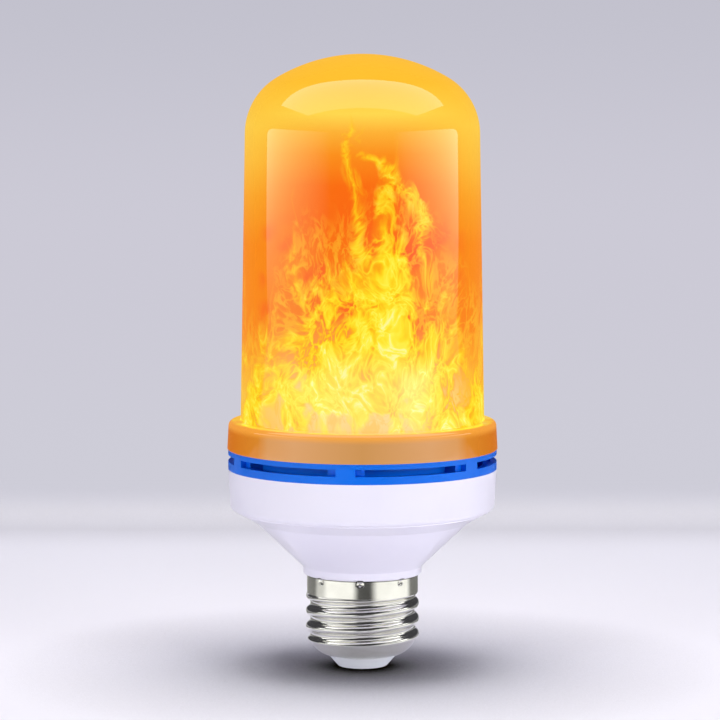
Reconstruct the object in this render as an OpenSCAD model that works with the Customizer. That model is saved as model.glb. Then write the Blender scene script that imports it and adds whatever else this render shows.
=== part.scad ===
// Flame effect LED bulb with an Edison screw cap, standing cap down.
// Origin: centre of the contact's flat end. +Z runs up the axis towards the dome.
// Millimetres throughout.

/* [Screw cap] */
// Diameter over the thread crests
thread_crest_d = 26.3; // [25.6:0.1:27]
// Depth from crest to root, measured along the radius
thread_depth = 1.05; // [0.8:0.05:1.1]
// Rise of the thread in one turn
thread_pitch = 3.63; // [3.4:0.05:3.8]
// Length of the threaded part, below the plain skirt
thread_h = 11.8; // [11:0.1:14]
// Thickness of the sheet that the shell is formed from
shell_wall = 0.35; // [0.25:0.05:0.4]
// How far the plain skirt lies inside the crests
skirt_inset = 0.25; // [0.1:0.05:0.5]
// Distance of the crest on the right below the skirt
crest_drop = 2.7; // [2:0.05:4]
// Height of the plain skirt
skirt_h = 4.2; // [3:0.1:5]
// Height of the rounded bowl below the thread
bowl_h = 3; // [2.6:0.1:3.4]
// Radius of the bowl's curve in section
bowl_r = 6; // [6:0.5:12]
// Width of the bowl, from the roots in to the opening in its bottom
bowl_w = 3.9; // [3.6:0.1:4.4]
// Number of staking dimples round the skirt
dimple_count = 8; // [4:1:12]
// Diameter of one staking dimple
dimple_d = 1.4; // [1.2:0.1:2.4]
// Depth of one staking dimple
dimple_depth = 0.4; // [0.3:0.05:0.6]
// Distance of the dimples below the skirt's top edge
dimple_drop = 0.8; // [0.8:0.1:1.6]
// Turn of the first dimple from the front
dimple_turn = -2.5; // [-22:0.5:22]

/* [Cap insulator and contact] */
// Height of the insulator's visible cone
insulator_h = 2.7; // [1.8:0.1:3]
// How far the cone narrows on its way down, measured along the radius
insulator_taper = 2.2; // [1.6:0.1:2.6]
// Radius of the cone's lower edge
insulator_edge_r = 0.6; // [0.4:0.1:1]
// Thickness of the flange inside the bowl
insulator_flange_t = 1.2; // [0.8:0.1:1.6]
// Diameter of the centre contact's head
contact_d = 8; // [6.5:0.1:9]
// How far the contact stands below the insulator
contact_proud = 0.3; // [0.2:0.05:0.6]
// Outer diameter of the contact's tubular shank
shank_d = 2.6; // [2.2:0.1:3.2]

/* [Housing] */
// Diameter of the housing's rim and of the vent ring
body_d = 62.2; // [60:0.1:66]
// How far the neck stands out over the shell's skirt
neck_rim_w = 0.85; // [0.5:0.05:1.2]
// Height of the neck
neck_h = 2.1; // [1.4:0.1:3]
// Width of the flat shoulder between cone and band
shoulder_w = 5.9; // [4:0.1:7]
// Height of the cone
cone_h = 12.8; // [11:0.2:16]
// How far the band narrows from the rim to its lower edge, along the radius
band_taper = 0.45; // [0:0.05:0.8]
// Height of the band
band_h = 9.7; // [8:0.1:12]
// Height of the slope from the cone's top out to the band
shoulder_h = 2.7; // [1.5:0.1:3.5]
// Overhang of the band's lower edge above the shoulder
crease_w = 0.45; // [0.3:0.05:0.8]
// Height of the step under that overhang
crease_h = 0.35; // [0.2:0.05:0.6]
// Step from the neck out to the cone
neck_step = 0.35; // [0.1:0.05:0.6]
// Radius of the band's lower edge
band_edge_r = 1.4; // [0.8:0.1:2]
// Wall thickness of the housing
housing_wall = 1.8; // [1.4:0.1:2]
// Depth of the spigot that the shell is pressed on
spigot_h = 14; // [12:0.2:15]
// Wall thickness of the spigot
spigot_wall = 1.6; // [1.4:0.1:1.8]

/* [Vent ring] */
// Height of the ring between housing and collar
ring_h = 4.6; // [4.2:0.1:6]
// Wall thickness of the slotted wall
ring_wall = 1.4; // [1:0.1:1.6]
// Number of slots
slot_count = 6; // [4:1:8]
// Height of one slot
slot_h = 1.6; // [1:0.1:1.8]
// Height of the slots' lower edge above the rim
slot_z = 1.8; // [1.4:0.1:1.9]
// Width of the bridge between two slots
bridge_w = 4.4; // [3:0.2:7]
// Turn of the first bridge from the front
slot_turn = -7.1; // [-30:0.1:30]
// How far the rib behind each bridge reaches out on both sides of it
rib_reach = 2.2; // [0.5:0.1:3]
// Thickness of the deck that closes the ring's top
deck_t = 1; // [0.8:0.1:1.1]
// How far the deck reaches in past the carrier tube's wall
deck_lip_w = 2.4; // [1.5:0.1:4]
// Width of the air gap between the ring's spigot and the baffle wall
vent_gap = 1.4; // [1:0.1:2]
// Thickness of the baffle, the ring's spigot and its upstand
web_t = 1.2; // [1:0.1:1.3]
// Depth of the spigot that centres the ring in the housing
ring_spigot_h = 2; // [1.4:0.1:3]
// Height of the upstand that the collar snaps over
upstand_h = 3; // [2:0.2:3.6]

/* [Diffuser] */
// How far the collar's lower edge stands out over the vent ring
collar_proud = 0.2; // [0:0.05:0.5]
// Height of the collar
collar_h = 6.6; // [6:0.1:8]
// Radius of the collar's upper edge
collar_edge_r = 1.2; // [0.6:0.1:1.6]
// Draft of the collar's side in degrees
collar_draft = 3; // [0:0.5:4]
// Width of the collar's flat top, with its rounded edge
collar_top_w = 2.75; // [2:0.05:4]
// Draft of the tube's side in degrees
tube_draft = 1; // [0:0.1:1.1]
// Height of the tube above the collar
tube_h = 66.4; // [60:0.5:90]
// Radius of the dome's crown
crown_r = 38.6; // [32:0.2:50]
// Radius of the dome's shoulder
shoulder_r = 15; // [10:0.5:18]
// Wall thickness of the diffuser
diffuser_wall = 1.6; // [1.2:0.1:1.8]
// Height of the snap bead above the collar's lower edge
bead_z = 1.6; // [1.2:0.1:1.8]
// Radius of the snap bead
bead_r = 0.4; // [0.3:0.05:0.5]

/* [LED carrier] */
// Share of the diffuser's inner radius that the carrier tube takes
carrier_share = 0.668; // [0.6:0.001:0.7]
// Wall thickness of the carrier tube
carrier_wall = 1.6; // [1.2:0.1:2]
// Distance of the carrier tube's top below the height where the dome begins
carrier_drop = 5.4; // [3:0.1:8]
// Width of the foot flange outside the carrier tube
foot_w = 8; // [7:0.1:9]
// Thickness of the foot flange
foot_t = 1.6; // [1.2:0.1:2]
// Thickness of the carrier cap's rim
cap_t = 1.6; // [1.2:0.1:2.4]
// Depth of the carrier cap's plug
cap_plug_h = 3; // [2:0.2:5]
// Height of the ledge that holds the control board
ledge_h = 3; // [2:0.2:4]
// Width of the ledge
ledge_w = 1.8; // [1.2:0.1:2.4]

/* [LED circuit] */
// Thickness of the flexible circuit
flex_t = 0.3; // [0.2:0.05:0.5]
// Width of the circuit's tail and of its slot in the carrier
tail_w = 10; // [8:0.5:12]
// Number of LED rows
led_rows = 11; // [9:1:11]
// Number of LEDs in a row
led_columns = 9; // [6:1:12]
// Height of the first row above the foot flange
first_row_z = 10; // [9:0.5:11]
// Distance of the last row below the carrier tube's top
last_row_drop = 5; // [3:0.5:8]
// Length of an LED package, along the axis
led_l = 3.5; // [3:0.1:4]
// Width of an LED package
led_w = 2.8; // [2.4:0.1:3.2]
// Thickness of an LED package
led_t = 0.8; // [0.6:0.1:1]
// Width of the frame round an LED's light window
led_frame_w = 0.35; // [0.2:0.05:0.6]
// Depth of an LED's light window
led_window_t = 0.15; // [0.1:0.05:0.3]

/* [Control board] */
// Thickness of the control board
control_t = 1; // [0.8:0.1:1.2]
// Length of the flame controller's package
controller_l = 9.9; // [8:0.1:11]
// Width of the controller's and the driver chip's packages
chip_w = 3.9; // [3.5:0.1:4.2]
// Height of the controller's and the driver chip's packages
chip_t = 1.5; // [1.2:0.1:1.8]
// Distance between two legs of a chip
leg_pitch = 1.27; // [1:0.01:1.3]
// Length of a row transistor's package
transistor_l = 2.9; // [2.5:0.1:3.2]
// Width of a row transistor's package
transistor_w = 1.3; // [1.1:0.1:1.6]
// Height of a row transistor's package
transistor_t = 1; // [0.8:0.1:1.2]
// Distance of the row transistors from the board's edge
transistor_inset = 4; // [3.2:0.1:4.5]

/* [Driver board] */
// Thickness of the driver board
driver_t = 1.2; // [1:0.1:1.6]
// Width of the board above the neck
driver_w = 30; // [26:0.5:31]
// Distance of the board's tongue from the spigot's bore
tongue_gap = 0.95; // [0.4:0.05:1.4]
// Distance of the board's shoulders from the cone's inner face
driver_gap = 0.5; // [0.3:0.1:1.5]
// Height of the board's wide part
driver_h = 14; // [12.5:0.5:14.5]
// Height of the capacitors and the inductor above the board's shoulders
part_z = 2; // [1:0.1:2.4]
// Length of the driver chip's package
driver_chip_l = 4.9; // [4.5:0.1:5.2]
// Length of the bridge rectifier's package
rectifier_l = 4.7; // [4.2:0.1:5]
// Height of the bridge rectifier's package
rectifier_t = 2.4; // [2:0.1:2.8]
// Diameter of the input capacitor
input_cap_d = 8; // [6.3:0.1:8.5]
// Length of the input capacitor
input_cap_l = 12; // [10:0.5:12.5]
// Diameter of the output capacitor
output_cap_d = 6.3; // [5:0.1:7]
// Length of the output capacitor
output_cap_l = 11; // [9:0.5:12]
// Diameter of the inductor's drum
inductor_d = 8; // [6:0.1:8.4]
// Length of the inductor's drum
inductor_l = 9; // [7:0.5:11]
// Diameter of the fuse resistor
fuse_d = 3; // [2.4:0.1:3.5]
// Length of the fuse resistor
fuse_l = 8; // [6:0.5:9]

/* [Leads and screws] */
// Diameter of an insulated lead
lead_d = 1.1; // [0.9:0.1:1.2]
// Length of the leads' ends that lie on the driver board
lead_end_l = 6; // [4:0.5:7]
// Length of the neutral lead's end against the shell
lead_slot_h = 5; // [4:0.5:6]
// Distance between the two leads that run up to the control board
lead_spread = 6; // [4:0.5:8]
// Distance of those leads' upper ends from the driver board's middle
lead_out = 4; // [3:0.5:5]
// Diameter of the screws' thread
screw_d = 2; // [1.8:0.1:2.4]
// Diameter of the screws' head
screw_head_d = 3.8; // [3.4:0.1:4.2]
// Length of the screws below the head
screw_l = 7; // [6:0.5:9]
// Length that the pilot holes run on below the screws' points
pilot_spare = 2.8; // [0.5:0.1:3]
// Distance of the screws from the carrier tube
screw_gap = 3.5; // [3:0.1:4]
// Diameter of the screw posts in the housing
post_d = 5; // [4.4:0.1:5.4]
// Number of screws
screw_count = 3; // [2:1:4]

/* [Clearances] */
// Gap between a moulding and the one it slides into
fit_gap = 0.2; // [0.1:0.05:0.3]
// Gap that a solder joint or glue line fills
seat_gap = 0.05; // [0.02:0.01:0.1]

/* [Hidden] */
$fn = 96;

function led_row_name(i) = str("led_row_", i < 10 ? "0" : "", i);

// Heights, stacked up from the contact's end
insulator_z = contact_proud;
lip_z = insulator_z + insulator_h;
thread_z = lip_z + bowl_h;
skirt_z = thread_z + thread_h;
neck_z = skirt_z + skirt_h;
cone_z = neck_z + neck_h;
band_z = cone_z + cone_h;
rim_z = band_z + band_h;
collar_z = rim_z + ring_h;
deck_z = collar_z - deck_t;
tube_z = collar_z + collar_h;
dome_z = tube_z + tube_h;
foot_z = collar_z;
carrier_z = foot_z + foot_t;
carrier_top_z = dome_z - carrier_drop;

// Radii that neighbours share
crest_r = thread_crest_d / 2;
root_r = crest_r - thread_depth;
skirt_r = crest_r - skirt_inset;
lip_r = root_r - bowl_w;
neck_r = skirt_r + neck_rim_w;
rim_r = body_d / 2;
rim_in_r = rim_r - housing_wall;
band_r = rim_r - band_taper;
collar_r = rim_r + collar_proud;
collar_top_r = collar_r - collar_h * tan(collar_draft);
collar_in_r = collar_top_r - diffuser_wall;
tube_r = collar_top_r - collar_top_w - tube_h * tan(tube_draft);
upstand_r = collar_in_r - fit_gap;
spigot_r = root_r - shell_wall - fit_gap;
spigot_in_r = spigot_r - spigot_wall;
spigot_z = neck_z - spigot_h;
carrier_r = carrier_share * (tube_r - diffuser_wall);
carrier_in_r = carrier_r - carrier_wall;
foot_r = carrier_r + foot_w;
control_z = carrier_z + ledge_h;
control_top_z = control_z + control_t;
control_r = carrier_in_r - fit_gap;
screw_circle_r = carrier_r + screw_gap;

// Where the inner pieces sit in the housing: the guides' foot, the board's lower edge,
// the pilot holes and the slot that the neutral lead runs up between spigot and shell
guide_z = 1;
board_z = spigot_z + 2;
pilot_depth = screw_l - foot_t - deck_t + pilot_spare;
tongue_r = spigot_in_r - tongue_gap;
shell_lead_y = root_r - shell_wall - lead_d / 2 - 2 * seat_gap;
lead_slot_y = shell_lead_y - lead_d / 2 - seat_gap;
lead_slot_w = lead_d + 2 * fit_gap;
tail_in_y = carrier_in_r - 6;

// Thread: the height of a crest at +X, and the steps that the sheet is drawn in
crest_z = skirt_z - crest_drop;
shell_angles = [for (j = [0 : 39]) 9 * j];
tuck = 0.06;
tuck_h = 0.3;

// Angles are counted from +X, and the object's front looks along -Y
front = -90;
back = 90;

// Points on an arc about [x, y], as many as keep a step near 5 degrees
function arc(x, y, r, a0, a1) =
    let (n = max(2, ceil(abs(a1 - a0) / 5)))
    [for (i = [0 : n]) let (a = a0 + (a1 - a0) * i / n) [x + r * cos(a), y + r * sin(a)]];
function reversed(list) = [for (i = [len(list) - 1 : -1 : 0]) list[i]];

// Copies of the children spread round the axis
module around(count, turn = 0) {
    for (i = [0 : count - 1]) rotate(turn + 360 * i / count) children();
}

module ring(r_out, r_in, h) {
    difference() {
        cylinder(r = r_out, h = h);
        translate([0, 0, -1]) cylinder(r = r_in, h = h + 2);
    }
}

// Diffuser: tube, dome and collar in one moulding. The dome is a crown arc and a
// shoulder arc that are tangent, and the shoulder is tangent to the drafted side.
shoulder_x = tube_r - shoulder_r;
shoulder_z = dome_z - shoulder_r * sin(tube_draft);
crown_z = shoulder_z - sqrt(pow(crown_r - shoulder_r, 2) - pow(shoulder_x, 2));
crown_a = atan2(shoulder_z - crown_z, shoulder_x);
function side_r(z, inset) =
    shoulder_x + (shoulder_r - inset) * cos(tube_draft)
    + tan(tube_draft) * (shoulder_z + (shoulder_r - inset) * sin(tube_draft) - z);
function dome_arc(inset) = concat(
    arc(shoulder_x, shoulder_z, shoulder_r - inset, tube_draft, crown_a),
    arc(0, crown_z, crown_r - inset, crown_a + 2, 90));

module diffuser() {
    edge_z = tube_z - collar_edge_r;
    edge_x = collar_r - (edge_z - collar_z) * tan(collar_draft) - collar_edge_r / cos(collar_draft);
    plate_z = tube_z - diffuser_wall;
    color([1, 0.62, 0.16])
    rotate_extrude() polygon(concat(
        [[collar_in_r, collar_z], [collar_r, collar_z]],
        arc(edge_x, edge_z, collar_edge_r, collar_draft, 90),
        [[side_r(tube_z, 0), tube_z]],
        dome_arc(0),
        reversed(dome_arc(diffuser_wall)),
        [[side_r(plate_z, diffuser_wall), plate_z], [collar_in_r, plate_z]],
        arc(collar_in_r, collar_z + bead_z, bead_r, 90, 270)));
}

// Vent ring: slotted wall, deck, baffle, spigot into the housing and snap upstand
module vent_ring() {
    bridge_arc = bridge_w / rim_r * 180 / PI;
    slot_arc = 360 / slot_count - bridge_arc;
    rib_arc = rib_reach / rim_r * 180 / PI;
    wall_in_r = rim_r - ring_wall;
    spigot_out_r = rim_in_r - fit_gap;
    baffle_r = spigot_out_r - web_t - vent_gap;
    color([0.06, 0.4, 0.92]) {
        difference() {
            union() {
                translate([0, 0, rim_z]) ring(rim_r, wall_in_r, ring_h);
                translate([0, 0, deck_z]) ring(rim_r, carrier_in_r - deck_lip_w, deck_t);
                translate([0, 0, rim_z]) ring(baffle_r, baffle_r - web_t, ring_h);
                translate([0, 0, rim_z - ring_spigot_h])
                    ring(spigot_out_r, spigot_out_r - web_t, ring_spigot_h + web_t);
                translate([0, 0, rim_z]) ring(rim_r, spigot_out_r - web_t, web_t);
                translate([0, 0, deck_z]) ring(upstand_r, upstand_r - web_t, deck_t + upstand_h);
            }
            around(slot_count, front + slot_turn + bridge_arc / 2)
                translate([0, 0, rim_z + slot_z]) rotate_extrude(angle = slot_arc)
                translate([wall_in_r - 1, 0]) square([ring_wall + 2, slot_h]);
            rotate_extrude()
                polygon(arc(collar_in_r, collar_z + bead_z, bead_r + seat_gap, 90, 270));
            around(screw_count, back) translate([screw_circle_r, 0, deck_z - 1])
                cylinder(d = screw_d + 2 * fit_gap, h = deck_t + 2);
        }
        around(slot_count, front + slot_turn - bridge_arc / 2 - rib_arc)
            translate([0, 0, rim_z + web_t / 2])
            rotate_extrude(angle = bridge_arc + 2 * rib_arc) translate([baffle_r - web_t / 2, 0])
            square([wall_in_r + seat_gap - baffle_r + web_t / 2, ring_h - web_t / 2 - deck_t / 2]);
    }
}

// Housing: band, flat underside, cone, neck and the spigot that carries the shell
cone_low_r = neck_r + neck_step;
cone_high_r = band_r - shoulder_w;
cone_slope = (cone_high_r - cone_low_r) / (cone_h - shoulder_h);
function cone_height(r) = cone_z + (r - cone_low_r) / cone_slope;
// The wall's thickness along the radius, where it runs up the cone
cone_wall = housing_wall * sqrt(1 + cone_slope * cone_slope);
shell_seat_z = skirt_z + 0.5;
shell_seat_r = skirt_r - shell_wall - seat_gap;

module housing_outside() {
    neck_edge = 0.3;
    edge_x = band_r - band_edge_r;
    rotate_extrude() polygon(concat(
        [[0, spigot_z], [spigot_r, spigot_z], [spigot_r, shell_seat_z],
         [shell_seat_r, shell_seat_z], [shell_seat_r, neck_z],
         [neck_r - neck_edge, neck_z], [neck_r, neck_z + neck_edge],
         [neck_r, cone_z - neck_edge], [cone_low_r, cone_z],
         [cone_high_r, band_z - shoulder_h], [edge_x - crease_w, band_z - crease_h],
         [edge_x - crease_w, band_z]],
        arc(edge_x, band_z + band_edge_r, band_edge_r, -90, 0),
        [[rim_r, rim_z], [0, rim_z]]));
}

module housing_cavity() {
    rotate_extrude() polygon([
        [0, spigot_z - 1], [spigot_in_r, spigot_z - 1],
        [spigot_in_r, cone_height(spigot_in_r + cone_wall)],
        [cone_high_r - housing_wall, cone_height(cone_high_r - housing_wall + cone_wall)],
        [band_r - housing_wall, band_z + housing_wall],
        [rim_in_r, rim_z + 1], [0, rim_z + 1]]);
}

// One of the two pairs of ribs that the driver board's edges slide between
module board_guide() {
    rib_t = 1.2;
    rib_overlap = 1;
    rib_x = tongue_r - rib_overlap;
    rib_y = driver_t / 2 + fit_gap;
    rib_l = spigot_r - spigot_wall / 2 - rib_x;
    for (side = [0, 1]) mirror([0, side, 0])
        translate([rib_x, rib_y, spigot_z + guide_z]) cube([rib_l, rib_t, neck_z - spigot_z - guide_z]);
    translate([rib_x, -rib_y - rib_t, spigot_z + guide_z])
        cube([rib_l, 2 * (rib_y + rib_t), board_z - spigot_z - guide_z]);
}

module housing() {
    color([0.93, 0.92, 0.97])
    difference() {
        union() {
            difference() {
                housing_outside();
                housing_cavity();
            }
            intersection() {
                housing_outside();
                around(2) board_guide();
            }
            intersection() {
                union() {
                    housing_outside();
                    translate([0, 0, rim_z - 1]) cylinder(r = rim_in_r - 1, h = ring_h);
                }
                around(screw_count, back) translate([screw_circle_r, 0, cone_z])
                    cylinder(d = post_d, h = deck_z - cone_z);
            }
        }
        around(screw_count, back) translate([screw_circle_r, 0, deck_z - pilot_depth])
            cylinder(d = screw_d + 2 * seat_gap, h = pilot_depth + 1);
        around(dimple_count, front + dimple_turn) dimple(shell_wall + seat_gap);
        translate([-lead_slot_w / 2, lead_slot_y, spigot_z - 1]) cube([lead_slot_w, 5, lead_slot_h + 1]);
    }
}

// Screw shell. In section the bowl is an arc from the lip to the thread's lower end.
bowl_run = [bowl_w, bowl_h];
bowl_half = norm(bowl_run) / 2;
bowl_back = sqrt(bowl_r * bowl_r - bowl_half * bowl_half);
bowl_x = (root_r + lip_r) / 2 - bowl_back * bowl_run[1] / (2 * bowl_half);
bowl_z = (thread_z + lip_z) / 2 + bowl_back * bowl_run[0] / (2 * bowl_half);
lip_a = atan2(lip_z - bowl_z, lip_r - bowl_x);
bowl_top_a = atan2(thread_z - bowl_z, root_r - bowl_x);

// Crest and root are equal arcs that meet halfway down the flank
quarter = thread_pitch / 4;
wave_r = (quarter * quarter + thread_depth * thread_depth / 4) / thread_depth;
function wave(u) =
    u < quarter ? crest_r - wave_r + sqrt(wave_r * wave_r - u * u)
    : root_r + wave_r - sqrt(wave_r * wave_r - pow(2 * quarter - u, 2));

// Radius at height z and angle a of a right hand thread that fades in below the skirt
// and out above the bowl
function fade(t) = let (c = min(1, max(0, t))) c * c * (3 - 2 * c);
function thread_r(z, a) =
    let (turn = (z - crest_z) / thread_pitch - a / 360,
         waved = wave(abs(turn - round(turn)) * thread_pitch),
         top = fade((skirt_z - z) / (0.35 * thread_pitch)),
         low = fade((z - thread_z) / (0.25 * thread_pitch)))
    (skirt_r - tuck) * (1 - top) + top * (root_r * (1 - low) + low * waved);
function spread(z0, z1, step) =
    let (n = ceil((z1 - z0) / step)) [for (i = [0 : n - 1]) z0 + (z1 - z0) * i / n];

// Rings of [height, radius at each angle] up one side of the sheet
function shell_side(inset, bowl_step, thread_step) = concat(
    [for (b = spread(lip_a, bowl_top_a, bowl_step)) [for (a = shell_angles)
        [bowl_x + (bowl_r - inset) * cos(b), a, bowl_z + (bowl_r - inset) * sin(b)]]],
    [for (z = spread(thread_z, skirt_z, thread_step))
        [for (a = shell_angles) [thread_r(z, a) - inset, a, z]]],
    [for (z = [skirt_z, skirt_z + tuck_h])
        [for (a = shell_angles) [skirt_r - (inset == 0 ? tuck : shell_wall - tuck), a, z]]]);

module screw_thread() {
    outside = shell_side(0, 13, thread_pitch / 8);
    inside = shell_side(shell_wall, 18, thread_pitch / 6);
    m = len(outside);
    k = len(inside);
    n = len(shell_angles);
    rings = concat(outside, inside);
    points = [for (ring = rings) for (p = ring) [p[0] * cos(p[1]), p[0] * sin(p[1]), p[2]]];
    function at(i, j) = i * n + j % n;
    walls = [for (i = [0 : m - 2]) for (j = [0 : n - 1]) each
        [[at(i, j), at(i + 1, j), at(i + 1, j + 1)], [at(i, j), at(i + 1, j + 1), at(i, j + 1)]]];
    linings = [for (i = [m : m + k - 2]) for (j = [0 : n - 1]) each
        [[at(i, j), at(i + 1, j + 1), at(i + 1, j)], [at(i, j), at(i, j + 1), at(i + 1, j + 1)]]];
    ends = [for (j = [0 : n - 1]) each
        [[at(0, j), at(0, j + 1), at(m, j + 1)], [at(0, j), at(m, j + 1), at(m, j)],
         [at(m - 1, j), at(m + k - 1, j + 1), at(m - 1, j + 1)],
         [at(m - 1, j), at(m + k - 1, j), at(m + k - 1, j + 1)]]];
    polyhedron(points, concat(walls, linings, ends), convexity = 10);
}

// The ball that a staking punch leaves its mark with, swollen by a distance
dimple_r = (dimple_d * dimple_d / 4 + dimple_depth * dimple_depth) / (2 * dimple_depth);
module dimple(swell) {
    translate([skirt_r - dimple_depth + dimple_r, 0, neck_z - dimple_drop])
        sphere(r = dimple_r + swell, $fn = 32);
}

module screw_shell() {
    color([0.78, 0.77, 0.75])
    difference() {
        union() {
            screw_thread();
            translate([0, 0, skirt_z]) ring(skirt_r, skirt_r - shell_wall, skirt_h);
            intersection() {
                around(dimple_count, front + dimple_turn) dimple(shell_wall);
                translate([0, 0, skirt_z]) cylinder(r = skirt_r - shell_wall / 2, h = skirt_h);
            }
        }
        around(dimple_count, front + dimple_turn) dimple(0);
    }
}

// Insulator: it fills the bowl's bottom and its cone stands out through the lip
module cap_insulator() {
    flange_z = lip_z + insulator_flange_t;
    hole_r = shank_d / 2 + seat_gap;
    seat_r = bowl_r - shell_wall - 2 * seat_gap;
    flange_a = asin((flange_z - bowl_z) / seat_r);
    color([0.87, 0.86, 0.93])
    rotate_extrude() polygon(concat(
        [[hole_r, insulator_z]],
        arc(lip_r - insulator_taper - insulator_edge_r, insulator_z + insulator_edge_r,
            insulator_edge_r, -90, -45),
        [[lip_r - 3 * seat_gap, lip_z]],
        arc(bowl_x, bowl_z, seat_r, lip_a, flange_a),
        [[hole_r, flange_z]]));
}

// Contact: a flat head on a tubular shank that is rolled over inside
module centre_contact() {
    edge = min(0.25, contact_proud / 2);
    flange_z = lip_z + insulator_flange_t;
    bore_r = lead_d / 2 + seat_gap;
    flare = 0.5;
    color([0.8, 0.79, 0.76])
    rotate_extrude() polygon([
        [0, 0], [contact_d / 2 - edge, 0], [contact_d / 2, edge], [contact_d / 2, insulator_z],
        [shank_d / 2, insulator_z], [shank_d / 2, flange_z], [shank_d / 2 + flare, flange_z],
        [shank_d / 2 + flare, flange_z + flare / 2], [shank_d / 2, flange_z + flare],
        [bore_r, flange_z + flare], [bore_r, insulator_z + seat_gap], [0, insulator_z + seat_gap]]);
}

// LED carrier: tube on a foot flange, with an inner ledge for the control board
module led_carrier() {
    color([0.9, 0.9, 0.88])
    difference() {
        union() {
            translate([0, 0, foot_z]) ring(foot_r, carrier_in_r, foot_t);
            translate([0, 0, foot_z]) ring(carrier_r, carrier_in_r, carrier_top_z - foot_z);
            translate([0, 0, foot_z])
                ring(carrier_in_r + carrier_wall / 2, carrier_in_r - ledge_w, foot_t + ledge_h);
        }
        translate([-tail_w / 2 - fit_gap, carrier_in_r - 1, control_top_z])
            cube([tail_w + 2 * fit_gap, carrier_wall + 2, flex_t + 2 * fit_gap]);
        around(screw_count, back) translate([screw_circle_r, 0, foot_z - 1])
            cylinder(d = screw_d + 2 * fit_gap, h = foot_t + 2);
    }
}

module carrier_cap() {
    color([0.9, 0.9, 0.88]) {
        translate([0, 0, carrier_top_z]) cylinder(r = carrier_r, h = cap_t);
        translate([0, 0, carrier_top_z - cap_plug_h])
            ring(carrier_in_r - fit_gap, carrier_in_r - fit_gap - carrier_wall, cap_plug_h + cap_t / 2);
    }
}

// Flexible circuit: a sleeve with one seam, and a tail that turns in to the board
flex_in_r = carrier_r + seat_gap;
flex_r = flex_in_r + flex_t;
tail_z = control_top_z + fit_gap;
module led_board() {
    seam_w = 0.8;
    seam_z = tail_z + 2;
    flex_top_z = carrier_top_z - 0.5;
    color([0.93, 0.93, 0.9])
    union() {
        difference() {
            translate([0, 0, tail_z]) ring(flex_r, flex_in_r, flex_top_z - tail_z);
            translate([-seam_w / 2, 0, seam_z]) cube([seam_w, flex_r + 1, flex_top_z]);
        }
        translate([-tail_w / 2, tail_in_y, tail_z])
            cube([tail_w, flex_r - flex_t / 2 - tail_in_y, flex_t]);
    }
}

module led() {
    translate([0, -led_w / 2, -led_l / 2]) difference() {
        cube([led_t, led_w, led_l]);
        translate([led_t - led_window_t, led_frame_w, led_frame_w])
            cube([1, led_w - 2 * led_frame_w, led_l - 2 * led_frame_w]);
    }
}

module led_row(i) {
    low_z = carrier_z + first_row_z;
    row_z = low_z + (carrier_top_z - last_row_drop - low_z) * (i - 1) / (led_rows - 1);
    color([0.98, 0.9, 0.5])
    around(led_columns, front) translate([flex_r + seat_gap, 0, row_z]) led();
}

module control_board() {
    color([0.1, 0.4, 0.2])
    translate([0, 0, control_z]) cylinder(r = control_r, h = control_t);
}

// A moulded chip lying on the plane z = 0, with bent legs along its two long sides
module chip(l, w, t, legs) {
    leg_w = 0.4;
    leg_t = 0.2;
    foot = 0.9;
    translate([-l / 2, -w / 2, leg_t / 2]) cube([l, w, t - leg_t / 2]);
    for (side = [0, 1], i = [0 : legs - 1]) mirror([0, side, 0])
        translate([(i - (legs - 1) / 2) * leg_pitch - leg_w / 2, w / 2, 0])
        rotate([90, 0, 90]) linear_extrude(leg_w) polygon([
            [-leg_t, t / 2], [leg_t, t / 2], [2 * leg_t, 0], [foot, 0], [foot, leg_t],
            [3 * leg_t, leg_t], [2 * leg_t, t / 2 + leg_t], [-leg_t, t / 2 + leg_t]]);
}

module flame_controller() {
    color([0.12, 0.12, 0.13])
    translate([0, 0, control_top_z + seat_gap]) chip(controller_l, chip_w, chip_t, 7);
}

module row_transistors() {
    free_arc = 270;
    color([0.15, 0.15, 0.16])
    for (i = [1 : led_rows])
        rotate(back + (360 - free_arc) / 2 + free_arc * (i - 1) / (led_rows - 1))
        translate([control_r - transistor_inset, 0, control_top_z + seat_gap]) rotate(90)
        chip(transistor_l, transistor_w, transistor_t, 2);
}

// Driver board: an upright T whose tongue slides down between the guides
wide_z = cone_height(driver_w / 2 + driver_gap + cone_wall);
driver_top_z = wide_z + driver_h;
module driver_board() {
    color([0.1, 0.42, 0.22])
    rotate([90, 0, 0]) translate([0, 0, -driver_t / 2]) linear_extrude(driver_t) polygon([
        [-tongue_r, board_z], [tongue_r, board_z], [tongue_r, wide_z],
        [driver_w / 2, wide_z], [driver_w / 2, driver_top_z], [-driver_w / 2, driver_top_z],
        [-driver_w / 2, wide_z], [-tongue_r, wide_z]]);
}

// Places parts on the board's face: side 1 is the back, -1 the front. There x runs
// across, y stands off the face and z stays upright.
module on_board(side, x, z) {
    mirror([0, side > 0 ? 0 : 1, 0]) translate([x, driver_t / 2 + seat_gap, z]) children();
}
module flat_on_board(side, x, z) {
    on_board(side, x, z) rotate([-90, 0, 0]) children();
}

module bridge_rectifier() {
    color([0.13, 0.13, 0.14])
    flat_on_board(1, -0.3 * driver_w, wide_z + 2 * part_z) chip(rectifier_l, chip_w, rectifier_t, 2);
}

module driver_chip() {
    color([0.12, 0.12, 0.13])
    flat_on_board(1, -0.03 * driver_w, wide_z + 2 * part_z) chip(driver_chip_l, chip_w, chip_t, 4);
}

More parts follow.
